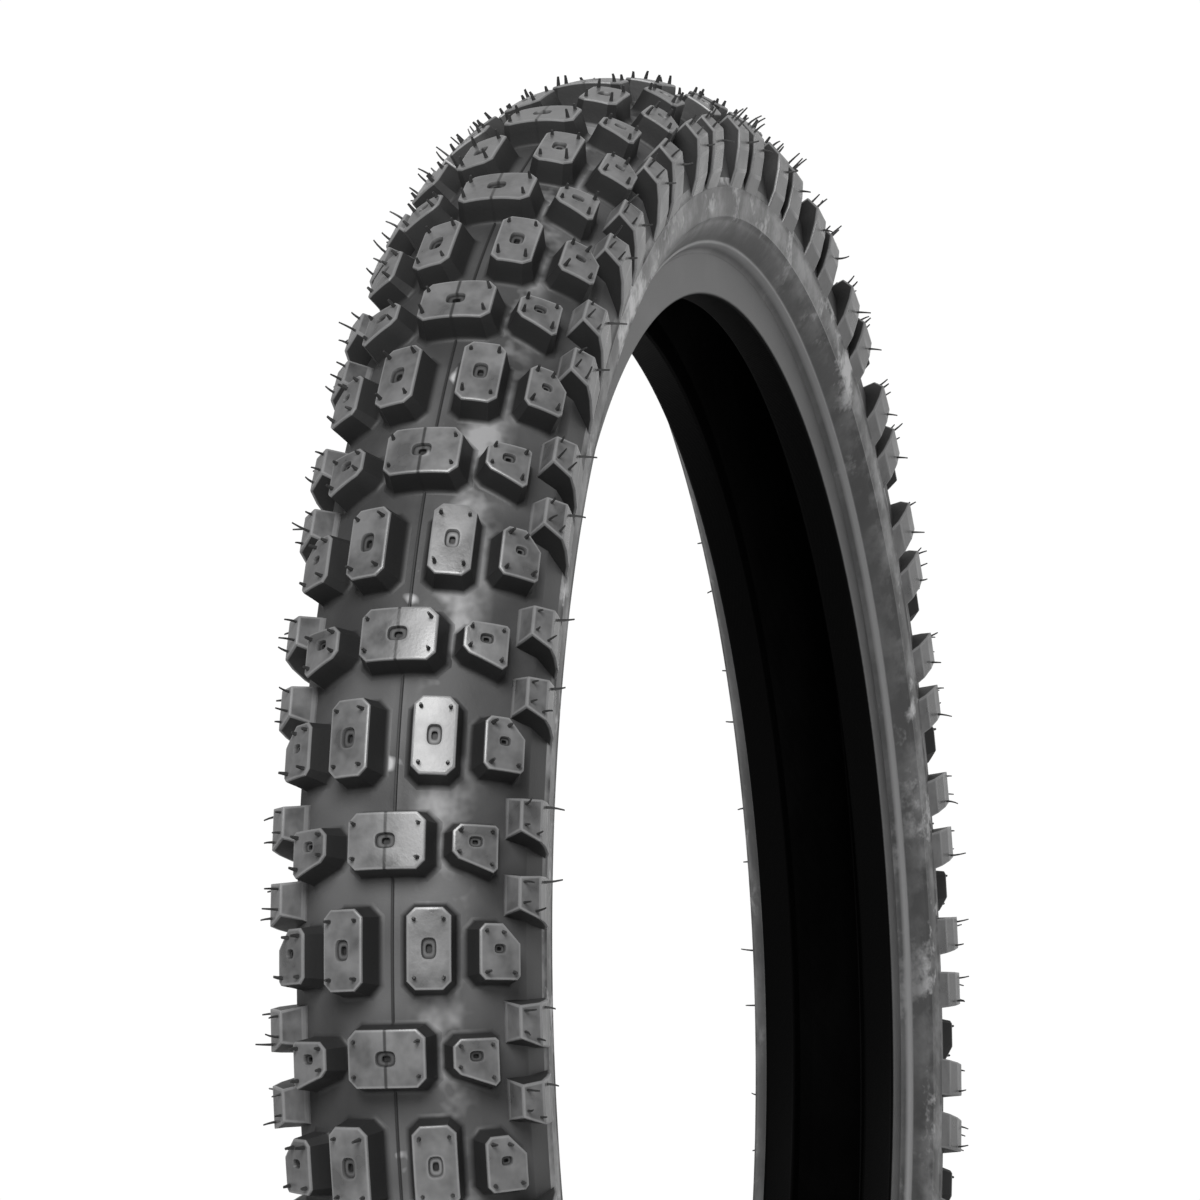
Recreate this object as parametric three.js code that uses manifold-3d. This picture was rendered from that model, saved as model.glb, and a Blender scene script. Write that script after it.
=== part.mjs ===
// Bias-ply off-road motorcycle tire, 3.00-21 size, built up from the same pieces as a real one.
// Millimetres. The wheel axle is the Y axis, +Z is up and the origin is the wheel centre.
// A cross-section is drawn as (side, radius): side is measured along Y from the centre plane and
// radius from the axle. A right-hand half is drawn and mirrored.
import * as THREE from 'three';
import { mergeVertices } from 'three/addons/utils/BufferGeometryUtils.js';
import Module from 'manifold-3d';

const wasm = await Module();
wasm.setup();

// ---- driving dimensions ----
const OUTER_RADIUS = 350;
const BEAD_RADIUS = 267;
const BEAD_HALF_WIDTH = 28;
const TOE_HALF_WIDTH = 15;
const PITCHES = 32;
const KNOB_HEIGHT = 9.5;
const CROWN_CURVE = 58;
const GAP = 0.3;
const PLY = 0.9;
const LINER = 0.9;
const BREAKER = 0.7;
const UNDERTREAD = 1.2;
const CHAFER = 1.2;
const BREAKER_HALF_WIDTH = 27;
const UNDERTREAD_HALF_WIDTH = 32.5;
const CHAFER_TOE_TOP = 277.3;
const FLANGE_TOP = 282.8;
const WING_END = 310.5;
const WING_HALF_WIDTH = 40;
const TREAD_SKIN_DROP = 0.9;
const KNOB_ROOT = 4;
const KNOB_ROOT_SCALE = 1.16;
const CORNER_CUT = 2.8;
const WIRE_HEIGHT = 4.6;
const FILLER_OUTER_TOP = 282.3;
const FILLER_INNER_TOP = 278.2;

// One facet spans one tread pitch. The facets are drawn round the true circle, with the
// middle of a facet straight down, so that a centre block stands flat on the ground.
const FACET_SCALE = 1 / Math.cos(Math.PI / PITCHES);
const PITCH_ANGLE = (2 * Math.PI) / PITCHES;
const LAYER_STEP = PLY + GAP;
const CROWN_CENTRE = OUTER_RADIUS - CROWN_CURVE;

// ---- materials ----
function rubber(colour, roughness) {
  return new THREE.MeshStandardMaterial({ color: colour, roughness, metalness: 0 });
}

const treadRubber = rubber(0x4a4a4a, 0.62);
const sidewallRubber = rubber(0x424242, 0.55);
const innerRubber = rubber(0x1c1c1c, 0.7);
const fillerRubber = rubber(0x2a2a2a, 0.75);
const nylonCord = new THREE.MeshStandardMaterial({ color: 0x8a7a5c, roughness: 0.85, metalness: 0 });
const chaferFabric = new THREE.MeshStandardMaterial({ color: 0x3a3a3a, roughness: 0.9, metalness: 0 });
const beadSteel = new THREE.MeshStandardMaterial({ color: 0xb08a50, roughness: 0.35, metalness: 1 });

// ---- cross-section helpers ----
function mirrored(path) {
  const left = path.map(([side, radius]) => [-side, radius]).reverse();
  return left.concat(path);
}

function leftNormal([x0, y0], [x1, y1]) {
  const length = Math.hypot(x1 - x0, y1 - y0);
  return [-(y1 - y0) / length, (x1 - x0) / length];
}

// Moves a path sideways by a distance, to its left when the distance is positive.
function offsetPath(path, distance) {
  return path.map((point, i) => {
    const before = i > 0 ? leftNormal(path[i - 1], point) : leftNormal(point, path[1]);
    const after = i < path.length - 1 ? leftNormal(point, path[i + 1]) : before;
    const miter = distance / (1 + before[0] * after[0] + before[1] * after[1]);
    return [point[0] + (before[0] + after[0]) * miter, point[1] + (before[1] + after[1]) * miter];
  });
}

// The outline of a strip of a given thickness laid along a path.
function strip(path, thickness) {
  return offsetPath(path, thickness / 2).concat(offsetPath(path, -thickness / 2).reverse());
}

// The part of a mirrored path that lies within a half width of the centre plane.
function trimmed(path, halfWidth) {
  const half = path.filter(([side]) => side > 0);
  const end = half.findIndex(([side]) => side >= halfWidth);
  const kept = half.slice(0, end);
  const inside = half[end - 1];
  const outside = half[end];
  const share = (halfWidth - inside[0]) / (outside[0] - inside[0]);
  kept.push([halfWidth, inside[1] + share * (outside[1] - inside[1])]);
  return mirrored(kept);
}

function signedArea(outline) {
  return outline.reduce((sum, [side, radius], i) => {
    const [nextSide, nextRadius] = outline[(i + 1) % outline.length];
    return sum + (radius * nextSide - nextRadius * side) / 2;
  }, 0);
}

// Turns a closed cross-section round the axle.
function revolve(outline) {
  const ordered = signedArea(outline) > 0 ? outline : [...outline].reverse();
  const points = ordered.map(([side, radius]) => new THREE.Vector2(radius * FACET_SCALE, side));
  points.push(points[0].clone());
  return new THREE.LatheGeometry(points, PITCHES, PITCH_ANGLE / 2);
}

// ---- solids for joining and cutting ----
function toSolid(geometry) {
  const bare = geometry.index ? geometry.clone() : geometry;
  bare.deleteAttribute('normal');
  bare.deleteAttribute('uv');
  const merged = mergeVertices(bare, 1e-4);
  const index = Array.from(merged.index.array);
  const triangles = [];
  for (let i = 0; i < index.length; i += 3) {
    const [a, b, c] = index.slice(i, i + 3);
    if (a !== b && b !== c && c !== a) triangles.push(a, b, c);
  }
  return new wasm.Manifold(new wasm.Mesh({
    numProp: 3,
    vertProperties: new Float32Array(merged.attributes.position.array),
    triVerts: new Uint32Array(triangles),
  }));
}

function toGeometry(solid) {
  const { vertProperties, triVerts } = solid.getMesh();
  const geometry = new THREE.BufferGeometry();
  geometry.setAttribute('position', new THREE.BufferAttribute(vertProperties, 3));
  geometry.setIndex(new THREE.BufferAttribute(triVerts, 1));
  geometry.computeVertexNormals();
  return geometry;
}

// ---- the carcass line ----
// The middle of the outer ply, from the crown down the sidewall, down the inner face of the
// bead wire, under it and up its outer face. Every other layer is measured from this line.
const wireInnerLeg = TOE_HALF_WIDTH + CHAFER + 2 * GAP + 1.5 * PLY;
const wireOuterLeg = BEAD_HALF_WIDTH - CHAFER - 2 * GAP - 1.5 * PLY;
const underWire = BEAD_RADIUS + CHAFER + 2 * GAP + 1.5 * PLY;
const turnUpEnd = 283.3;
const carcassWall = [[14.2, 331.6], [28, 321.6], [35.4, 306.5], [31, 291.5], [wireInnerLeg, 279]];
const carcassHook = [[wireInnerLeg, underWire], [wireOuterLeg, underWire], [wireOuterLeg, turnUpEnd]];
const carcassLine = mirrored(carcassWall.concat(carcassHook));
const carcassWallLine = mirrored(carcassWall);

function plyOutline(layer) {
  return strip(offsetPath(carcassLine, -layer * LAYER_STEP), PLY);
}

function linerOutline() {
  const inward = 1.5 * PLY + 2 * GAP + LINER / 2;
  return strip(offsetPath(carcassWallLine, -inward), LINER);
}

// ---- layers over the carcass, under the knobs ----
const breakerOut = PLY / 2 + GAP + BREAKER / 2;
const undertreadOut = breakerOut + BREAKER / 2 + GAP + UNDERTREAD / 2;
const treadInnerOut = undertreadOut + UNDERTREAD / 2 + GAP;

function breakerOutline() {
  return strip(trimmed(offsetPath(carcassWallLine, breakerOut), BREAKER_HALF_WIDTH), BREAKER);
}

function undertreadOutline() {
  return strip(trimmed(offsetPath(carcassWallLine, undertreadOut), UNDERTREAD_HALF_WIDTH), UNDERTREAD);
}

// ---- outer skin between the knobs ----
const crownSkin = OUTER_RADIUS - KNOB_HEIGHT - TREAD_SKIN_DROP;
const treadSkin = [[19.5, crownSkin], [38.8, 320.8], [WING_HALF_WIDTH, WING_END]];
const sidewallTop = [WING_HALF_WIDTH, WING_END - GAP];
const sidewallSkin = [sidewallTop, [40.1, 300], [35.8, 290.6], [29.6, 285]];
const sidewallInnerTopInset = 1.3;
const turnUpCover = 285.8;

function sidewallOutline() {
  const clearOfPly = PLY / 2 + GAP;
  const wall = offsetPath(carcassWallLine, clearOfPly).filter(([side]) => side > 0);
  const [, , widest, lower] = wall;
  const turnUpFace = BEAD_HALF_WIDTH - CHAFER;
  const top = [widest[0] - sidewallInnerTopInset, WING_END - GAP];
  const bottom = [[BEAD_HALF_WIDTH, FLANGE_TOP + GAP], [turnUpFace, FLANGE_TOP + GAP]];
  return sidewallSkin.concat(bottom, [[turnUpFace, turnUpCover], lower, widest, top]);
}

function chaferOutline() {
  const inner = TOE_HALF_WIDTH + CHAFER / 2;
  const outer = BEAD_HALF_WIDTH - CHAFER / 2;
  const base = BEAD_RADIUS + CHAFER / 2;
  return strip([[inner, CHAFER_TOE_TOP], [inner, base], [outer, base], [outer, FLANGE_TOP]], CHAFER);
}

// ---- bead ----
const wireInner = wireInnerLeg + PLY / 2 + GAP;
const wireOuter = wireOuterLeg - PLY / 2 - GAP;
const wireBottom = underWire + PLY / 2 + GAP;
const wireTop = wireBottom + WIRE_HEIGHT;

function beadWireOutline() {
  return [[wireInner, wireBottom], [wireOuter, wireBottom], [wireOuter, wireTop], [wireInner, wireTop]];
}

function beadFillerOutline() {
  const base = wireTop + GAP;
  const peak = [wireOuter, FILLER_OUTER_TOP];
  return [[wireInner, base], [wireOuter, base], peak, [wireInner, FILLER_INNER_TOP]];
}

// ---- tread ----
// A knob's outline is given as (across, along) in millimetres at its top face. Across grows
// from the centre of the tread to its edge, and along grows from -X over the top towards +X.
function block(halfAcross, halfAlong) {
  const [a, b] = [halfAcross - CORNER_CUT, halfAlong - CORNER_CUT];
  const lower = [[-halfAcross, -b], [-a, -halfAlong], [a, -halfAlong], [halfAcross, -b]];
  return lower.concat(lower.map(([across, along]) => [-across, -along]));
}

const centreBlock = { arc: 0, phase: 0, outline: block(12.9, 9.2) };
const pairBlock = { arc: 14.5, phase: 0.5, outline: block(7.1, 13) };
const innerShoulder = { arc: 29.1, phase: 0, outline: [[-7.4, -5.4], [6.6, -9.6], [7.4, 6.2], [-7, 5.3]] };
const outerShoulder = { arc: 37.4, phase: 0.5, outline: [[-6.6, -9.6], [6.8, -9], [6.8, 4.7], [-5.7, 7.6]] };
const edgeOutline = [[-4.4, -5.4], [4.4, -7.2], [4.4, 6.4], [-4.4, 6.4]];
const upperEdge = { arc: 47.1, phase: 0.17, outline: edgeOutline };
const lowerEdge = { arc: 47.1, phase: -0.21, outline: edgeOutline };
const sideKnobs = [pairBlock, innerShoulder, outerShoulder, upperEdge, lowerEdge];

function knobGeometry(knob, side, turn) {
  const depth = KNOB_HEIGHT + KNOB_ROOT;
  const outline = side > 0 ? knob.outline.map(([a, b]) => [-a, b]).reverse() : knob.outline;
  const shape = new THREE.Shape(outline.map(([a, b]) => new THREE.Vector2(a, b)));
  const geometry = new THREE.ExtrudeGeometry(shape, { depth, bevelEnabled: false });
  const position = geometry.attributes.position;
  for (let i = 0; i < position.count; i += 1) {
    if (position.getZ(i) < depth / 2) {
      position.setXY(i, position.getX(i) * KNOB_ROOT_SCALE, position.getY(i) * KNOB_ROOT_SCALE);
    }
  }
  const lean = (side * knob.arc) / CROWN_CURVE;
  geometry.translate(0, 0, CROWN_CURVE - depth);
  geometry.applyMatrix4(new THREE.Matrix4().makeBasis(
    new THREE.Vector3(0, -1, 0),
    new THREE.Vector3(1, 0, 0),
    new THREE.Vector3(0, 0, 1),
  ));
  geometry.rotateX(-lean);
  geometry.translate(0, 0, CROWN_CENTRE);
  geometry.rotateY(turn);
  return geometry;
}

// The tread is cut hollow by a ring that is wider than the wings and reaches below them.
const cutterHalfWidth = 42;
const cutterFloor = 290;

function treadGeometry() {
  const skinRing = treadSkin.concat([[WING_HALF_WIDTH, cutterFloor + 10]]);
  let solid = toSolid(revolve(mirrored(skinRing)));
  for (let pitch = 0; pitch < PITCHES; pitch += 1) {
    const turn = (phase) => (pitch + phase) * PITCH_ANGLE;
    solid = solid.add(toSolid(knobGeometry(centreBlock, 1, turn(0))));
    for (const knob of sideKnobs) {
      for (const side of [1, -1]) {
        solid = solid.add(toSolid(knobGeometry(knob, side, turn(knob.phase))));
      }
    }
  }
  const inner = offsetPath(carcassWallLine, treadInnerOut).filter(([side]) => side > 0).slice(0, 3);
  const belowWing = [[cutterHalfWidth, WING_END], [cutterHalfWidth, cutterFloor]];
  const cutEdge = [inner[2][0] - 0.1, WING_END];
  const cutter = mirrored([inner[0], inner[1], cutEdge, ...belowWing]);
  return toGeometry(solid.subtract(toSolid(revolve(cutter))));
}

// ---- assembly ----
const tire = new THREE.Group();

function addPiece(name, geometry, material) {
  const mesh = new THREE.Mesh(geometry, material);
  mesh.name = name;
  tire.add(mesh);
}

function addPair(name, outline, material) {
  const other = outline.map(([side, radius]) => [-side, radius]);
  addPiece(`${name}_right`, revolve(other), material);
  addPiece(`${name}_left`, revolve(outline), material);
}

addPiece('tread_band', treadGeometry(), treadRubber);
addPiece('undertread', revolve(undertreadOutline()), innerRubber);
addPiece('breaker', revolve(breakerOutline()), nylonCord);
addPiece('outer_ply', revolve(plyOutline(0)), nylonCord);
addPiece('inner_ply', revolve(plyOutline(1)), nylonCord);
addPiece('inner_liner', revolve(linerOutline()), innerRubber);
addPair('sidewall', sidewallOutline(), sidewallRubber);
addPair('chafer', chaferOutline(), chaferFabric);
addPair('bead_filler', beadFillerOutline(), fillerRubber);
addPair('bead_wire', beadWireOutline(), beadSteel);

export default tire;
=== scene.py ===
import math
import random

import bmesh
import bpy
from mathutils import Matrix, Vector


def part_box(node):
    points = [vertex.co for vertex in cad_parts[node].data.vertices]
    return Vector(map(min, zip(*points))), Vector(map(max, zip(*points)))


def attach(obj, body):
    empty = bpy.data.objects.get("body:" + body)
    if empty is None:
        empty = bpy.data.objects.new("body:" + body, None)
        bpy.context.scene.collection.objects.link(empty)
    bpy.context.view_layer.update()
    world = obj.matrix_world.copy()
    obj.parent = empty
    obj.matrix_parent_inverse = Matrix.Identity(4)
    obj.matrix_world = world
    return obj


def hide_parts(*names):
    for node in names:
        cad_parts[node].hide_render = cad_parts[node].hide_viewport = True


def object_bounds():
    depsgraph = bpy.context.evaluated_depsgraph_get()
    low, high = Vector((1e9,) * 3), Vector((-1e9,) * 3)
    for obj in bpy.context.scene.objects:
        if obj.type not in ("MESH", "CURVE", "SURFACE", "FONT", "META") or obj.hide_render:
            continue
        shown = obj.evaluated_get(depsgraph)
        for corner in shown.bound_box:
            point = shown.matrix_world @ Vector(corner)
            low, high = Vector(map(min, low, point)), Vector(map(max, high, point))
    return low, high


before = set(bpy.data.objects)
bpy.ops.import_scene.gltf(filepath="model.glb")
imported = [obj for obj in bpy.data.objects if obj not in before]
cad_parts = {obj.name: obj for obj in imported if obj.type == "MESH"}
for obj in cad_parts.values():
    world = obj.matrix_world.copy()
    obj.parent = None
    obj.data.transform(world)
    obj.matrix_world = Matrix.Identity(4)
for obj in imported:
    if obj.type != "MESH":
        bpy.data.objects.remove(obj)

cad_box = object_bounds()

# ---- driving dimensions, in millimetres ----
MM = 0.001
OUTER_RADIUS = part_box("tread_band")[1].z / MM
WING_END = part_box("sidewall_left")[1].z / MM
FLANGE_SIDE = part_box("chafer_left")[1].y / MM
TOE_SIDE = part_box("chafer_left")[0].y / MM
FLANGE_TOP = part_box("chafer_left")[1].z / MM
LINER_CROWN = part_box("inner_liner")[1].z / MM
BEAD_RADIUS = 267
PITCHES = 32
PITCH_ANGLE = 2 * math.pi / PITCHES
KNOB_HEIGHT = 9.5
CROWN_CURVE = 58
BASE_CURVE = CROWN_CURVE - KNOB_HEIGHT
CROWN_CENTRE = OUTER_RADIUS - CROWN_CURVE
ARC_END = math.radians(52)
RING_STEPS = 360
PARTING_HEIGHT = 0.5
ROOT_FILLET = 1.5
WALL_DRAFT = 1.0
CROWN_SKIN = 4.0
STRIP_SKIN = 1.2
STRIP_SEAM = 0.02
WALL_RIBS = [(286.2, 1.1, 0.8), (295.6, 0.6, 0.6), (306.6, 0.5, 0.6)]
# Radius of the rim-line rib, whose crest gets a painted highlight in the sidewall material.
RIM_LINE = 286.2
HEEL_ROUND = 1.6
TOE_ROUND = 1.4
TOE_TOP = 277.3
LINER_SKIN = 0.9
HAIR_LENGTH = 4.8
HAIR_RADIUS = 0.5
STUB_RADIUS = 0.8
HAIR_ROOT_DEPTH = 0.4

rng = random.Random(21)


# ---- mesh building ----
class Shell:
    """Collects points, faces and three paint values for each point: painted edge highlight, top and
    painted shade.
    """

    def __init__(self):
        self.points, self.faces, self.paint = [], [], []

    def add(self, points, faces, paint=None):
        start = len(self.points)
        self.points.extend(points)
        self.faces.extend([tuple(start + i for i in face) for face in faces])
        self.paint.extend(paint or [(0.0, 0.0, 0.0)] * len(points))

    def to_object(self, name, sharp_angle=38):
        mesh = bpy.data.meshes.new(name)
        mesh.from_pydata([Vector(p) * MM for p in self.points], [], self.faces)
        for label, values in zip(("painted_edge_highlight", "top_face", "painted_shade"), zip(*self.paint)):
            layer = mesh.attributes.new(label, "FLOAT", "POINT")
            layer.data.foreach_set("value", values)
        mesh.update()
        mesh.shade_smooth()
        mesh.set_sharp_from_angle(angle=math.radians(sharp_angle))
        obj = bpy.data.objects.new(name, mesh)
        bpy.context.scene.collection.objects.link(obj)
        return obj


def at(side, radius, angle):
    return (-radius * math.cos(angle), side, radius * math.sin(angle))


def ring_faces(count, rings, closed=True):
    """Quads between rings of points; ring j, point i is at index j * count + i."""
    last = rings if closed else rings - 1
    faces = []
    for j in range(last):
        for i in range(count):
            k = (i + 1) % count
            m = (j + 1) % rings
            faces.append((j * count + i, j * count + k, m * count + k, m * count + i))
    return faces


def revolve(shell, outline, steps=RING_STEPS):
    """Turns a closed outline, listed anticlockwise in (side, radius), round the axle."""
    points = []
    for step in range(steps):
        angle = 2 * math.pi * step / steps
        points.extend(at(side, radius, angle) for side, radius in outline)
    shell.add(points, ring_faces(len(outline), steps))


def curve_through(stops, steps=5):
    """A smooth Catmull-Rom curve through the stops."""
    ends = [stops[0]] + list(stops) + [stops[-1]]
    out = []
    for a, b, c, d in zip(ends, ends[1:], ends[2:], ends[3:]):
        for i in range(steps):
            t = i / steps
            out.append(tuple(
                0.5 * (2 * q + (r - p) * t + (2 * p - 5 * q + 4 * r - s) * t ** 2
                       + (3 * q - p - 3 * r + s) * t ** 3)
                for p, q, r, s in zip(a, b, c, d)
            ))
    out.append(tuple(stops[-1]))
    return out


# ---- cross-sections ----
def crown_point(lean, height=0.0):
    reach = BASE_CURVE + height
    return reach * math.sin(lean), CROWN_CENTRE + reach * math.cos(lean)


def crown_skin():
    """The tread's skin between the knobs, from the centre to the wing's edge."""
    seam = [(0, PARTING_HEIGHT), (0.28, PARTING_HEIGHT), (0.55, 0.05), (0.9, 0.0)]
    half = [crown_point(side / BASE_CURVE, height) for side, height in seam]
    count = 36
    half += [crown_point(ARC_END * i / count) for i in range(2, count)]
    wing = [crown_point(ARC_END), (39.2, 316.6), (40.1, WING_END)]
    return half + curve_through(wing)


def raised(curve, radius, height, width):
    """Adds a low rounded rib to a curve at a radius."""
    out = []
    for side, r in curve:
        bump = height * math.exp(-((r - radius) / width) ** 2)
        out.append((side + bump, r))
    return out


def sidewall_skin():
    stops = [
        (40.1, WING_END), (40.3, 305.5), (39.9, 299.5), (38.1, 294),
        (34.7, 289.6), (31, 286.3), (28.9, 284.4), (FLANGE_SIDE, FLANGE_TOP + STRIP_SEAM),
    ]
    curve = curve_through(stops, 9)
    for radius, height, width in WALL_RIBS:
        curve = raised(curve, radius, height, width)
    return curve


def make_sidewall(name, sign):
    back = FLANGE_SIDE - STRIP_SKIN
    inner = [(back, FLANGE_TOP + STRIP_SEAM), (back, 286), (31.8, 291), (36.1, 306.5)]
    inner.append((35.9, WING_END))
    outline = [(sign * side, radius) for side, radius in sidewall_skin() + inner]
    if sign > 0:
        outline.reverse()
    shell = Shell()
    revolve(shell, outline)
    return shell.to_object(name)


def make_chafer(name, sign):
    back, corner = FLANGE_SIDE - STRIP_SKIN, 0.04
    outline = [(back, FLANGE_TOP), (FLANGE_SIDE - corner, FLANGE_TOP)]
    outline.append((FLANGE_SIDE, FLANGE_TOP - corner))
    turns = [math.radians(10 * i) for i in range(10)]
    for t in turns:
        side = FLANGE_SIDE - HEEL_ROUND + HEEL_ROUND * math.cos(t)
        outline.append((side, BEAD_RADIUS + HEEL_ROUND - HEEL_ROUND * math.sin(t)))
    for t in turns:
        side = TOE_SIDE + TOE_ROUND - TOE_ROUND * math.sin(t)
        outline.append((side, BEAD_RADIUS + TOE_ROUND - TOE_ROUND * math.cos(t)))
    outline += [(TOE_SIDE, 277), (TOE_SIDE + 0.3, TOE_TOP), (TOE_SIDE + STRIP_SKIN, TOE_TOP)]
    outline += [(TOE_SIDE + STRIP_SKIN, BEAD_RADIUS + STRIP_SKIN), (back, BEAD_RADIUS + STRIP_SKIN)]
    outline = [(sign * side, radius) for side, radius in outline]
    if sign < 0:
        outline.reverse()
    shell = Shell()
    revolve(shell, outline)
    return shell.to_object(name)


def make_liner():
    """The inner skin, from one bead toe over the crown to the other."""
    crown = (0, LINER_CROWN - LINER_SKIN)
    stops = [
        crown, (12.5, 328.4), (23, 321.6), (29.5, 312.5), (31.4, 304.5), (30.2, 296.5),
        (25.5, 289.3), (19.8, 283.8), (16.2, 280), (TOE_SIDE + 0.35, 277.7),
    ]
    inner = curve_through(stops, 8)
    outer = [(side + 0.8, radius + 0.35) for side, radius in reversed(inner) if side > 1]
    half_in = [(side, radius) for side, radius in inner if side > 0]
    outline = list(reversed(half_in)) + [crown]
    outline += [(-side, radius) for side, radius in half_in]
    outline += [(-side, radius) for side, radius in reversed(outer)] + [(0, LINER_CROWN)] + outer
    shell = Shell()
    revolve(shell, outline)
    return shell.to_object("liner_skin")


def make_tread_skin(shell):
    top = crown_skin()
    inner = [crown_point(ARC_END * i / 12, -CROWN_SKIN) for i in range(12, 0, -1)]
    right = top + [(36.2, WING_END)] + inner
    left = [(-side, radius) for side, radius in reversed(right) if side > 0]
    outline = right + [crown_point(0, -CROWN_SKIN)] + left
    outline.reverse()
    revolve(shell, outline)


# ---- knobs ----
# An outline is (across, along) in millimetres at the top face, anticlockwise, from the knob's
# middle: across grows towards the tire's edge, and along grows with the angle round the tire.
def chamfered(half_across, half_along, cut):
    a, b = half_across, half_along
    right = [(a - cut, -b), (a, cut - b), (a, b - cut), (a - cut, b)]
    return right + [(cut - a, b), (-a, b - cut), (-a, cut - b), (cut - a, -b)]


def corners(half_across, half_along):
    a, b = half_across, half_along
    return [(-a, -b), (a, -b), (a, b), (-a, b)]


CENTRE = {
    "arc": 0, "phase": 0, "outline": chamfered(12.9, 9.2, 2.8), "hairs": corners(10.7, 5.5),
    "dimple": (3.2, 2.4),
}
PAIR = {
    "arc": 14.5, "phase": 0.5, "outline": chamfered(7.1, 13.0, 2.7), "hairs": corners(4.7, 9.2),
    "dimple": (2.3, 3.3),
}
INNER_SHOULDER = {
    "arc": 29.1, "phase": 0,
    "outline": [
        (5.9, -9.6), (7.4, -8.1), (7.4, 4.6), (6.3, 5.6),
        (-5.0, 5.6), (-7.4, 3.2), (-7.4, -3.4), (-5.4, -5.6),
    ],
    "hairs": [(-5.3, -3.2), (5.2, -6.8), (5.2, 3.4), (-5.1, 3.4)], "dimple": (2.1, 1.6),
}
OUTER_SHOULDER = {
    "arc": 37.4, "phase": 0.5,
    "outline": [
        (5.8, -9.8), (7.0, -8.5), (7.0, 1.6), (1.0, 8.0),
        (-4.9, 8.0), (-6.7, 6.0), (-6.7, -7.8), (-4.9, -9.8),
    ],
    "hairs": [(-4.5, -7.4), (4.7, -7.4), (1.0, 5.2), (-4.5, 5.6)], "dimple": (1.8, 1.4),
}
CROWN_KNOBS = [CENTRE, PAIR, INNER_SHOULDER, OUTER_SHOULDER]


def grown(outline, distance):
    """Moves each side of a convex outline outwards, keeping its corners."""
    count = len(outline)
    out = []
    for i, (x, y) in enumerate(outline):
        (px, py), (nx, ny) = outline[i - 1], outline[(i + 1) % count]
        before, after = math.hypot(x - px, y - py), math.hypot(nx - x, ny - y)
        n0 = ((y - py) / before, -(x - px) / before)
        n1 = ((ny - y) / after, -(nx - x) / after)
        miter = distance / (1 + n0[0] * n1[0] + n0[1] * n1[1])
        out.append((x + (n0[0] + n1[0]) * miter, y + (n0[1] + n1[1]) * miter))
    return out


def split_counts(outline, length=2.2):
    """How many parts each side of the outline is cut into."""
    following = outline[1:] + outline[:1]
    return [max(1, round(math.dist(a, b) / length)) for a, b in zip(outline, following)]


def subdivided(outline, counts):
    out = []
    for i, parts in enumerate(counts):
        (ax, ay), (bx, by) = outline[i], outline[(i + 1) % len(outline)]
        out.extend((ax + (bx - ax) * k / parts, ay + (by - ay) * k / parts) for k in range(parts))
    return out


def stadium_ring(ring, half_across, half_along):
    """Points on a rounded slot, in the same directions from the middle as the ring's points."""
    out = []
    power = 3.2
    for x, y in ring:
        angle = math.atan2(y, x)
        c, s = abs(math.cos(angle)) / half_across, abs(math.sin(angle)) / half_along
        reach = 1 / (c ** power + s ** power) ** (1 / power)
        out.append((reach * math.cos(angle), reach * math.sin(angle)))
    return out


# The dimple in a knob's top: (height from the top face, growth or share of its size, paint).
# The paint gives the dimple's rim lip a faint painted highlight and darkens its walls and floor with
# painted shade.
DIMPLE_RIM = [(0, 0.9, (0, 1, 0)), (-0.06, 0.15, (0.3, 0.7, 0)), (-1.3, -0.3, (0, 0, 0.9))]
DIMPLE_FLOOR = [(-1.35, 0.62, (0, 0.25, 0.2)), (-1.4, 0.42, (0, 0, 0.8)), (-2.6, 0.36, (0, 0, 1))]


def knob_rings(knob):
    """(height, ring, (painted edge highlight, top, painted shade)) for each ring of a knob, from root
    to dimple.
    """
    outline = knob["outline"]
    counts = split_counts(outline)
    h, f, d = KNOB_HEIGHT, ROOT_FILLET, WALL_DRAFT
    # Painted shade rises up the root fillet and covers the walls; the rounded top edge gets a painted
    # highlight.
    levels = [(-0.5, d + f + 0.35, (0, 0, 0)), (0.03, d + f, (0, 0, 0.1))]
    for i in range(1, 5):
        turn = math.radians(22 * i)
        rise, reach = f * (1 - math.cos(turn)) + 0.03, d + f * (1 - math.sin(turn))
        levels.append((rise, reach, (0, 0, 0.2 + 0.2 * i)))
    levels += [
        (0.55 * h, 0.45 * d, (0, 0, 1)), (h - 0.8, 0.05, (0, 0, 1)), (h - 0.55, 0, (0.8, 0, 0)),
        (h - 0.14, -0.16, (1, 0.5, 0)), (h, -0.55, (0.9, 1, 0)), (h, -0.95, (0.1, 1, 0)),
    ]
    rings = []
    for level, growth, paint in levels:
        rings.append((level, subdivided(grown(outline, growth), counts), paint))
    a, b = knob["dimple"]
    ring = rings[-1][1]
    for drop, growth, paint in DIMPLE_RIM:
        rings.append((h + drop, stadium_ring(ring, a + growth, b + growth), paint))
    for drop, share, paint in DIMPLE_FLOOR:
        rings.append((h + drop, stadium_ring(ring, a * share, b * share), paint))
    return rings


def knob_point(knob, across, along, height, side, angle):
    lean = knob["arc"] / CROWN_CURVE + across / (BASE_CURVE + height)
    y, radius = crown_point(lean, height)
    return at(side * y, radius, angle + along / radius)


def add_crown_knob(shell, knob, side, angle):
    rings = knob_rings(knob)
    count = len(rings[0][1])
    points, colours = [], []
    for level, ring, paint in rings:
        points.extend(knob_point(knob, x, y, level, side, angle) for x, y in ring)
        colours.extend([tuple(float(value) for value in paint)] * count)
    faces = ring_faces(count, len(rings), closed=False)
    last = (len(rings) - 1) * count
    faces.append(tuple(range(last, last + count)))
    faces.append(tuple(reversed(range(count))))
    if side > 0:
        faces = [tuple(reversed(face)) for face in faces]
    shell.add(points, faces, colours)


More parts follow.
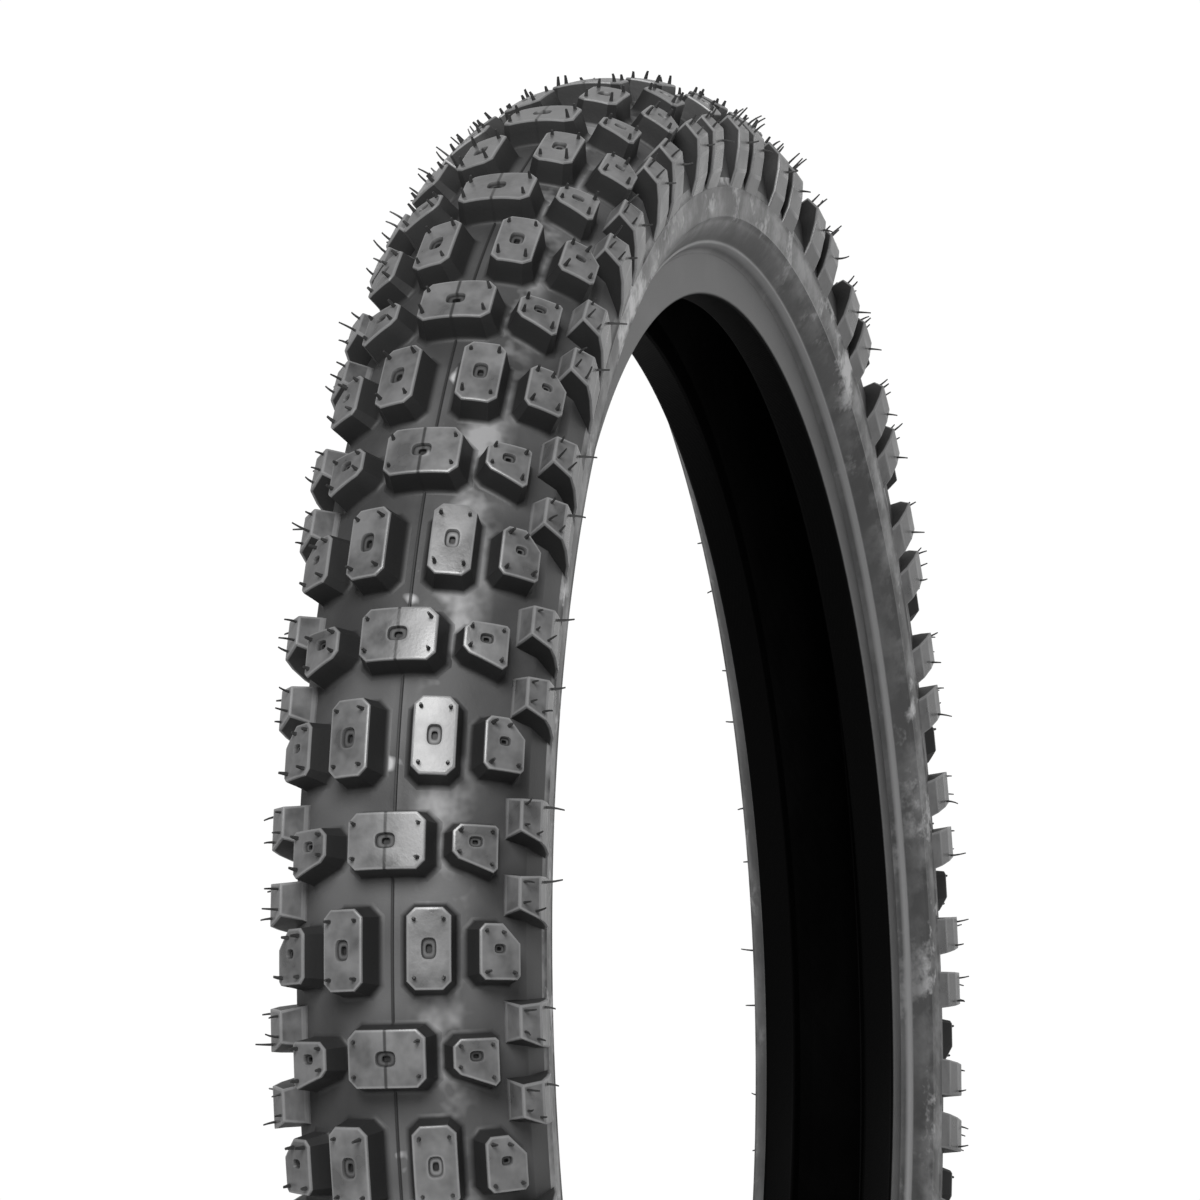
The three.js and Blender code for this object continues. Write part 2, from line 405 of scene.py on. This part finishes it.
# An edge knob is a buttress: its section runs from the tread over the shoulder and down the
# sidewall. Each stop is (side, radius, length below its middle, length above its middle).
BUTTRESS = [
    (31.5, 326.8, 7.4, 6.6), (33.6, 329.0, 6.8, 6.2), (39.8, 334.2, 5.6, 4.6),
    (45.1, 328.2, 8.6, 5.4), (44.8, 321.6, 8.8, 5.9), (43.2, 313.2, 9.0, 6.4),
    (39.8, 304.6, 9.2, 6.8), (35.2, 313.2, 9.2, 6.8),
]
BUTTRESS_PHASES = (0.16, -0.22)
BUTTRESS_BEVEL = 0.6
BUTTRESS_INSET = 0.55


def buttress_mesh():
    """One edge knob at angle 0 on the +Y side, with rounded edges: points, faces and paint."""
    bm = bmesh.new()
    low = [bm.verts.new(at(s, r, -below / r)) for s, r, below, above in BUTTRESS]
    high = [bm.verts.new(at(s, r, above / r)) for s, r, below, above in BUTTRESS]
    count = len(BUTTRESS)
    bm.faces.new(low)
    bm.faces.new(list(reversed(high)))
    for i in range(count):
        k = (i + 1) % count
        bm.faces.new((low[k], low[i], high[i], high[k]))
    bmesh.ops.recalc_face_normals(bm, faces=bm.faces[:])
    sunk = {low[0], high[0], low[-1], high[-1]}
    shown = [edge for edge in bm.edges if not sunk.intersection(edge.verts)]
    rounded = bmesh.ops.bevel(
        bm, geom=shown, offset=BUTTRESS_BEVEL, segments=2, profile=0.6, affect="EDGES",
    )
    edges = set(rounded["faces"])
    flats = [face for face in bm.faces if face not in edges]
    # The rounded edges carry the painted edge highlight.
    edge_highlight = {vert for face in edges for vert in face.verts}
    bmesh.ops.inset_individual(bm, faces=flats, thickness=BUTTRESS_INSET)
    # The end faces are darkened with painted shade.
    ends = {vert for face in flats if abs(face.normal.z) > 0.8 for vert in face.verts}
    bmesh.ops.triangulate(bm, faces=[face for face in bm.faces if len(face.verts) > 4])
    bm.verts.index_update()
    points = [tuple(vert.co) for vert in bm.verts]
    faces = [tuple(vert.index for vert in face.verts) for face in bm.faces]
    paint = []
    for vert in bm.verts:
        paint.append((float(vert in edge_highlight), float(vert not in ends), float(vert in ends)))
    bm.free()
    return points, faces, paint


def turned(points, angle, side):
    c, s = math.cos(angle), math.sin(angle)
    return [(x * c + z * s, side * y, -x * s + z * c) for x, y, z in points]


def add_buttresses(shell):
    points, faces, paint = buttress_mesh()
    flipped = [tuple(reversed(face)) for face in faces]
    for pitch in range(PITCHES):
        for phase in BUTTRESS_PHASES:
            for side in (1, -1):
                angle = (pitch + phase) * PITCH_ANGLE
                shell.add(turned(points, angle, side), faces if side > 0 else flipped, paint)


# ---- vent hairs ----
def add_hair(shell, root, out, lean, length, thickness=HAIR_RADIUS):
    """A thin tapering rubber hair from a mould vent, bent a little to one side."""
    out, lean = Vector(out).normalized(), Vector(lean)
    across = out.orthogonal().normalized()
    other = out.cross(across)
    sides, levels = 5, 4
    points = []
    for level in range(levels):
        t = level / (levels - 1)
        centre = Vector(root) + out * (length * t - HAIR_ROOT_DEPTH) + lean * (t * t)
        radius = thickness * (1 - 0.45 * t)
        for i in range(sides):
            turn = 2 * math.pi * i / sides
            spoke = across * math.cos(turn) + other * math.sin(turn)
            points.append(tuple(centre + spoke * radius))
    faces = ring_faces(sides, levels, closed=False)
    faces.append(tuple(range((levels - 1) * sides, levels * sides)))
    faces.append(tuple(reversed(range(sides))))
    shell.add(points, faces)


def random_lean(length):
    return Vector([rng.uniform(-0.2, 0.2) * length for axis in range(3)])


def knob_hairs(shell, knob, side, angle):
    for across, along in knob["hairs"]:
        root = knob_point(knob, across, along, KNOB_HEIGHT, side, angle)
        above = knob_point(knob, across, along, KNOB_HEIGHT + 1, side, angle)
        length = HAIR_LENGTH * rng.uniform(0.4, 0.8)
        out = Vector(above) - Vector(root)
        add_hair(shell, root, out, random_lean(length) * 0.6, length, STUB_RADIUS)


# Each hair is (side, radius, distance along the tread, tilt in degrees away from straight out).
BUTTRESS_HAIRS = [
    (40.9, 332.8, -3.6, 45), (40.9, 332.8, 3.0, 45),
    (43.9, 329.4, -6.0, 45), (44.8, 323.8, 3.8, 95),
]


def buttress_hairs(shell, side, angle):
    for s, r, along, tilt in BUTTRESS_HAIRS:
        turn = angle + along / r
        root = Vector(at(side * s, r, turn))
        lift = math.radians(tilt)
        tip = Vector(at(side * (s + math.sin(lift)), r + math.cos(lift), turn))
        length = HAIR_LENGTH * rng.uniform(0.6, 1.35)
        add_hair(shell, root, tip - root, random_lean(length), length)


def make_tread():
    tread, hairs = Shell(), Shell()
    make_tread_skin(tread)
    add_buttresses(tread)
    for pitch in range(PITCHES):
        for knob in CROWN_KNOBS:
            angle = (pitch + knob["phase"]) * PITCH_ANGLE
            for side in (1, -1) if knob["arc"] else (1,):
                add_crown_knob(tread, knob, side, angle)
                knob_hairs(hairs, knob, side, angle)
        for phase in BUTTRESS_PHASES:
            for side in (1, -1):
                buttress_hairs(hairs, side, (pitch + phase) * PITCH_ANGLE)
    return tread.to_object("tread_blocks"), hairs.to_object("vent_hairs")


# ---- materials ----
class Nodes:
    """A short way to write a node material."""

    def __init__(self, name):
        self.material = bpy.data.materials.new(name)
        self.material.use_nodes = True
        self.tree = self.material.node_tree
        self.shader = self.tree.nodes["Principled BSDF"]
        self.place = self.make("ShaderNodeTexCoord").outputs["Object"]

    def make(self, kind, **settings):
        node = self.tree.nodes.new(kind)
        for key, value in settings.items():
            setattr(node, key, value)
        return node

    def join(self, source, target):
        self.tree.links.new(source, target)

    def noise(self, scale, detail=3.0, roughness=0.6):
        node = self.make("ShaderNodeTexNoise")
        node.inputs["Scale"].default_value = scale
        node.inputs["Detail"].default_value = detail
        node.inputs["Roughness"].default_value = roughness
        self.join(self.place, node.inputs["Vector"])
        return node.outputs["Fac"]

    def ramp(self, source, low, high, start=0.0, end=1.0):
        node = self.make("ShaderNodeMapRange")
        for key, value in (("From Min", start), ("From Max", end), ("To Min", low), ("To Max", high)):
            node.inputs[key].default_value = value
        self.join(source, node.inputs["Value"])
        return node.outputs["Result"]

    def math(self, operation, first, second):
        node = self.make("ShaderNodeMath", operation=operation)
        for socket, value in zip(node.inputs, (first, second)):
            if isinstance(value, (int, float)):
                socket.default_value = value
            else:
                self.join(value, socket)
        return node.outputs["Value"]

    def mix(self, factor, first, second):
        node = self.make("ShaderNodeMix", data_type="RGBA")
        self.join(factor, node.inputs["Factor"])
        for socket, value in ((node.inputs["A"], first), (node.inputs["B"], second)):
            if isinstance(value, tuple):
                socket.default_value = (*value, 1)
            else:
                self.join(value, socket)
        return node.outputs["Result"]

    def from_axle(self):
        """The distance from the axle, in metres."""
        flat = self.make("ShaderNodeVectorMath", operation="MULTIPLY")
        flat.inputs[1].default_value = (1, 0, 1)
        radius = self.make("ShaderNodeVectorMath", operation="LENGTH")
        self.join(self.place, flat.inputs[0])
        self.join(flat.outputs["Vector"], radius.inputs[0])
        return radius.outputs["Value"]

    def side(self):
        """The signed distance from the centre plane, in metres."""
        split = self.make("ShaderNodeSeparateXYZ")
        self.join(self.place, split.inputs["Vector"])
        return split.outputs["Y"]

    def wave(self, scale, direction="DIAGONAL"):
        node = self.make("ShaderNodeTexWave", bands_direction=direction)
        node.inputs["Scale"].default_value = scale
        self.join(self.place, node.inputs["Vector"])
        return node.outputs["Fac"]

    def attribute(self, name):
        return self.make("ShaderNodeAttribute", attribute_name=name).outputs["Fac"]

    def finish(self, colour, roughness, height=None, distance=0.0004, strength=0.5):
        self.join(colour, self.shader.inputs["Base Color"])
        self.join(roughness, self.shader.inputs["Roughness"])
        if height is not None:
            bump = self.make("ShaderNodeBump")
            bump.inputs["Distance"].default_value = distance
            bump.inputs["Strength"].default_value = strength
            self.join(height, bump.inputs["Height"])
            self.join(bump.outputs["Normal"], self.shader.inputs["Normal"])
        return self.material


def grey(value):
    return (value, value, value * 1.01)


DUST_LANE_SIDE = -15 * MM


def tread_material():
    """Dull dusty ground between the knobs, scuffed tops, walls darkened with painted shade, pale
    painted highlights on the edges and a painted shadow line along the centre seam.
    """
    n = Nodes("tread_rubber_look")
    patches = n.noise(30, 4, 0.62)
    clouds = n.noise(11, 3, 0.55)
    smears = n.noise(75, 3, 0.6)
    side = n.side()
    off_centre = n.math("ABSOLUTE", side, 0)
    ground = n.mix(n.ramp(patches, 0, 1, 0.42, 0.70), grey(0.030), grey(0.046))
    ground = n.mix(n.ramp(clouds, 0, 0.9, 0.50, 0.68), ground, grey(0.100))
    beside = n.math("SUBTRACT", side, DUST_LANE_SIDE)
    lane = n.ramp(n.math("ABSOLUTE", beside, 0), 1, 0, 4 * MM, 11 * MM)
    dust = n.math("MULTIPLY", lane, n.ramp(n.noise(26, 4, 0.7), 0, 1, 0.49, 0.62))
    ground = n.mix(dust, ground, grey(0.20))
    near_seam = n.ramp(off_centre, 1, 0, 2.6 * MM, 3.2 * MM)
    fleck = n.math("MULTIPLY", n.ramp(n.noise(70, 2, 0.5), 0, 1, 0.64, 0.70), near_seam)
    ground = n.mix(fleck, ground, grey(0.30))
    scuff = n.mix(n.ramp(smears, 0, 1, 0.35, 0.65), grey(0.050), grey(0.115))
    top = n.mix(n.attribute("top_face"), ground, scuff)
    # Painted shade: knob walls, root fillets, dimples and buttress end faces are darkened.
    wall = n.mix(n.attribute("painted_shade"), top, grey(0.013))
    # Painted highlight: the rounded edges are painted pale.
    edge_highlight = n.mix(n.ramp(n.attribute("painted_edge_highlight"), 0, 0.7), wall, grey(0.17))
    # Painted shadow: a dark line along the centre parting ridge, where the ridge throws its shade.
    seam = n.ramp(off_centre, 0.9, 0, 0.3 * MM, 0.7 * MM)
    colour = n.mix(seam, edge_highlight, grey(0.010))
    gloss = n.math("MAXIMUM", n.attribute("top_face"), n.attribute("painted_edge_highlight"))
    dull = n.ramp(patches, 0.50, 0.62, 0.35, 0.7)
    shiny = n.ramp(smears, 0.27, 0.42, 0.35, 0.65)
    rough = n.make("ShaderNodeMix", data_type="FLOAT")
    for index, value in ((0, gloss), (2, dull), (3, shiny)):
        n.join(value, rough.inputs[index])
    n.join(n.ramp(gloss, 0.32, 0.6), n.shader.inputs["Specular IOR Level"])
    grain = n.math("ADD", n.noise(900, 3, 0.6), n.math("MULTIPLY", n.noise(140, 2, 0.5), 0.8))
    return n.finish(colour, rough.outputs[0], grain, 0.0002, 0.25)


def sidewall_material():
    """Satin rubber with a pale bloom that grows towards the shoulder."""
    n = Nodes("sidewall_rubber_look")
    patches = n.noise(22, 4, 0.6)
    streaks = n.noise(48, 4, 0.65)
    radius = n.from_axle()
    high = n.ramp(radius, 0.2, 1, 0.289, 0.299)
    base = n.mix(n.ramp(patches, 0, 1, 0.42, 0.72), grey(0.036), grey(0.062))
    bloom = n.math("MULTIPLY", n.ramp(streaks, 0, 0.9, 0.44, 0.66), high)
    base = n.mix(bloom, base, grey(0.24))
    chalk = n.ramp(n.noise(30, 5, 0.7), 0, 1, 0.56, 0.66)
    base = n.mix(n.math("MULTIPLY", chalk, high), base, grey(0.50))
    # Painted highlight: a pale line along the crest of the rim-line rib.
    rib = n.math("SUBTRACT", radius, RIM_LINE * MM)
    rim_highlight = n.ramp(n.math("ABSOLUTE", rib, 0), 1, 0, 0.0006, 0.0014)
    base = n.mix(rim_highlight, base, grey(0.20))
    rough = n.ramp(patches, 0.36, 0.50, 0.35, 0.7)
    grain = n.math("ADD", n.noise(700, 3, 0.6), n.noise(60, 2, 0.5))
    return n.finish(base, rough, grain, 0.00018, 0.3)


def chafer_material():
    """Woven strip: grey on the flank that shows, dull black in the bore that grips the rim."""
    n = Nodes("chafer_weave_look")
    patches = n.noise(30, 3, 0.6)
    flank = n.mix(n.ramp(patches, 0, 1, 0.42, 0.72), grey(0.038), grey(0.064))
    out = n.ramp(n.from_axle(), 0, 1, (BEAD_RADIUS + 0.6) * MM, (BEAD_RADIUS + 1.4) * MM)
    off_centre = n.math("ABSOLUTE", n.side(), 0)
    outer = n.math("GREATER_THAN", off_centre, (FLANGE_SIDE - 1.0) * MM)
    shown = n.math("MULTIPLY", out, outer)
    grain = n.math("ADD", n.wave(420), n.noise(500, 2, 0.5))
    n.join(n.ramp(shown, 0.02, 0.5), n.shader.inputs["Specular IOR Level"])
    colour = n.mix(shown, grey(0.002), flank)
    return n.finish(colour, n.ramp(patches, 0.36, 0.50), grain, 0.00015, 0.2)


def liner_material():
    """Nearly black rubber with the fine ribs that the curing bladder leaves."""
    n = Nodes("liner_look")
    patches = n.noise(18, 3, 0.6)
    base = n.mix(n.ramp(patches, 0, 1, 0.4, 0.75), grey(0.002), grey(0.005))
    n.shader.inputs["Specular IOR Level"].default_value = 0.05
    return n.finish(base, n.ramp(patches, 0.6, 0.8), n.wave(90), 0.0003, 0.3)


def hair_material():
    n = Nodes("vent_hair_look")
    base = n.mix(n.noise(300, 2, 0.5), grey(0.010), grey(0.022))
    return n.finish(base, n.ramp(n.noise(200), 0.4, 0.6))


def cord_material():
    n = Nodes("cord_ply_look")
    wave = n.wave(260)
    base = n.mix(wave, (0.16, 0.12, 0.08), (0.30, 0.24, 0.16))
    return n.finish(base, n.ramp(n.noise(60), 0.7, 0.9), wave, 0.0003, 0.6)


def steel_material():
    n = Nodes("bead_wire_look")
    wave = n.wave(300, "Y")
    base = n.mix(wave, (0.42, 0.29, 0.15), (0.62, 0.45, 0.25))
    n.shader.inputs["Metallic"].default_value = 1.0
    return n.finish(base, n.ramp(n.noise(80), 0.3, 0.45), wave, 0.0003, 0.6)


def dress(obj, material):
    obj.data.materials.clear()
    obj.data.materials.append(material)


# ---- the tire ----
def place(piece, material, slot, *nodes):
    dress(piece, material)
    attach(piece, "root")
    if nodes:
        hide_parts(*nodes)


treads, hairs = make_tread()
place(treads, tread_material(), "tread_rubber", "tread_band")
place(hairs, hair_material(), "tread_rubber")
wall_look = sidewall_material()
chafer_look = chafer_material()
for name, sign in (("left", 1), ("right", -1)):
    sidewall = make_sidewall("sidewall_skin_" + name, sign)
    place(sidewall, wall_look, "sidewall_rubber", "sidewall_" + name)
    strip = make_chafer("bead_strip_" + name, sign)
    place(strip, chafer_look, "chafer_rubber", "chafer_" + name)
place(make_liner(), liner_material(), "liner_rubber", "inner_liner")

cord_look = cord_material()
steel_look = steel_material()
black_look = liner_material()
for node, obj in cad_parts.items():
    if node in ("outer_ply", "inner_ply", "breaker"):
        dress(obj, cord_look)
    elif node.startswith("bead_wire"):
        dress(obj, steel_look)
    elif node in ("undertread", "bead_filler_left", "bead_filler_right"):
        dress(obj, black_look)

# ---- floor, lights and camera ----
# Each world list is (a direction's share along the axis, brightness).
FLOOR_SIZE = 6.0
WORLD_STRENGTH = 1.02
WORLD_HEIGHTS = [(-1.0, 0.06), (-0.22, 0.08), (-0.12, 1.0), (0.20, 1.0), (0.42, 0.55), (1.0, 0.5)]
WORLD_DEPTHS = [(-1.0, 0.32), (0.0, 0.32), (0.6, 1.0), (1.0, 1.0)]
WORLD_SIDES = [(-1.0, 1.0), (0.42, 1.0), (0.7, 0.55), (1.0, 0.5)]
CAMERA_AZIMUTH = math.radians(-75.227)
CAMERA_ELEVATION = math.radians(2.301)
CAMERA_DISTANCE = 1.9469
CAMERA_TARGET = Vector((-0.01138, 0.01859, 0.15414))
CAMERA_ROLL = math.radians(-1.939)
CAMERA_LENS = 154.07
KEY_LIGHT = {"azimuth": -84, "elevation": 34, "distance": 2.6, "size": 1.4, "power": 84}


def direction(azimuth, elevation):
    flat = math.cos(elevation)
    return Vector((math.sin(azimuth) * flat, -math.cos(azimuth) * flat, math.sin(elevation)))


def make_floor():
    bm = bmesh.new()
    bmesh.ops.create_grid(bm, x_segments=8, y_segments=8, size=FLOOR_SIZE / 2)
    mesh = bpy.data.meshes.new("floor")
    bm.to_mesh(mesh)
    bm.free()
    obj = bpy.data.objects.new("floor", mesh)
    obj.location.z = cad_box[0][2]
    bpy.context.scene.collection.objects.link(obj)
    n = Nodes("floor_look")
    base = n.mix(n.noise(3, 2), (0.66, 0.66, 0.66), (0.70, 0.70, 0.70))
    dress(obj, n.finish(base, n.ramp(n.noise(20), 0.6, 0.75)))


def make_world():
    """A white backdrop ahead of the camera, dimmer to the sides and overhead, and dark below."""
    world = bpy.data.worlds.new("studio")
    world.use_nodes = True
    tree = world.node_tree
    background = tree.nodes["Background"]
    view = tree.nodes.new("ShaderNodeTexCoord")
    split = tree.nodes.new("ShaderNodeSeparateXYZ")
    tree.links.new(view.outputs["Generated"], split.inputs["Vector"])
    colour = None
    for axis, levels in (("Z", WORLD_HEIGHTS), ("X", WORLD_DEPTHS), ("Y", WORLD_SIDES)):
        lift = tree.nodes.new("ShaderNodeMapRange")
        lift.inputs["From Min"].default_value = -1
        ramp = tree.nodes.new("ShaderNodeValToRGB")
        tree.links.new(split.outputs[axis], lift.inputs["Value"])
        tree.links.new(lift.outputs["Result"], ramp.inputs["Fac"])
        stops = ramp.color_ramp.elements
        for place_on_axis, level in levels:
            stop = stops.new((place_on_axis + 1) / 2)
            stop.color = (level, level, level, 1)
        stops.remove(stops[0])
        stops.remove(stops[-1])
        if colour is None:
            colour = ramp.outputs["Color"]
            continue
        product = tree.nodes.new("ShaderNodeMix")
        product.data_type = "RGBA"
        product.blend_type = "MULTIPLY"
        product.inputs["Factor"].default_value = 1
        tree.links.new(colour, product.inputs["A"])
        tree.links.new(ramp.outputs["Color"], product.inputs["B"])
        colour = product.outputs["Result"]
    tree.links.new(colour, background.inputs["Color"])
    background.inputs["Strength"].default_value = WORLD_STRENGTH
    bpy.context.scene.world = world


def soft_light(name, azimuth, elevation, distance, size, power):
    """A disk light aimed at the axle's middle."""
    data = bpy.data.lights.new(name, "AREA")
    data.shape = "DISK"
    data.size = size
    data.energy = power
    obj = bpy.data.objects.new(name, data)
    toward = direction(math.radians(azimuth), math.radians(elevation))
    obj.location = toward * distance
    obj.rotation_euler = toward.to_track_quat("Z", "Y").to_euler()
    bpy.context.scene.collection.objects.link(obj)


def make_camera():
    data = bpy.data.cameras.new("camera")
    data.lens = CAMERA_LENS
    data.sensor_width = 36
    obj = bpy.data.objects.new("camera", data)
    position = direction(CAMERA_AZIMUTH, CAMERA_ELEVATION) * CAMERA_DISTANCE
    look = (CAMERA_TARGET - position).to_track_quat("-Z", "Y").to_matrix()
    turn = look @ Matrix.Rotation(CAMERA_ROLL, 3, "Z")
    obj.matrix_world = Matrix.Translation(position) @ turn.to_4x4()
    bpy.context.scene.collection.objects.link(obj)
    bpy.context.scene.camera = obj


make_camera()
make_floor()
make_world()
soft_light("key", **KEY_LIGHT)
bpy.context.scene.view_settings.view_transform = "Standard"
